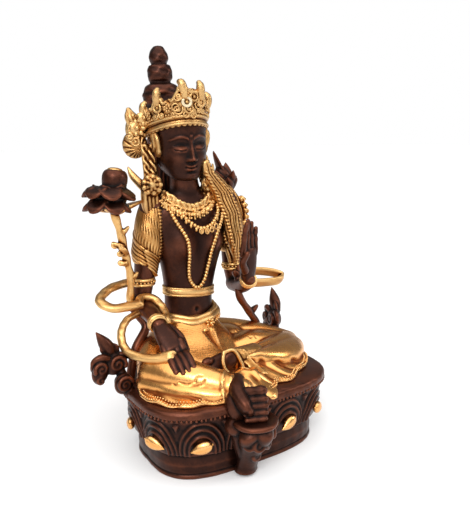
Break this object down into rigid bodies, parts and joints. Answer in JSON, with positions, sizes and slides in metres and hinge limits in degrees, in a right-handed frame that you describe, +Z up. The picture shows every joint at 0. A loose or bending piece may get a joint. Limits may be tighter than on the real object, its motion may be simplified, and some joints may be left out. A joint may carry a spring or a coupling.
{
  "type": "green tara statue",
  "caption": "Cast brass figure of a crowned, seated Green Tara with lotus stems, one foot on a small lotus, on an oval lotus pedestal. A shelf or altar ornament.",
  "frame": {"origin": "middle of the pedestal's flat underside", "axes": "+Z up, the figure faces -Y, its right hand is on the -X side"},
  "size_m": [0.1271, 0.1037, 0.2056],
  "materials": {
    "brown_patina": "dark chocolate-brown patina, satin, rubbed to copper on its high spots; gilded drops",
    "gilded_brass": "bright gilding on clothes, crown, jewellery and scarves, brown patina on skin, hair and flowers"
  },
  "bodies": {
    "root": {"lotus_pedestal": "brown_patina", "tara_figure": "gilded_brass"}
  },
  "joints": []
}
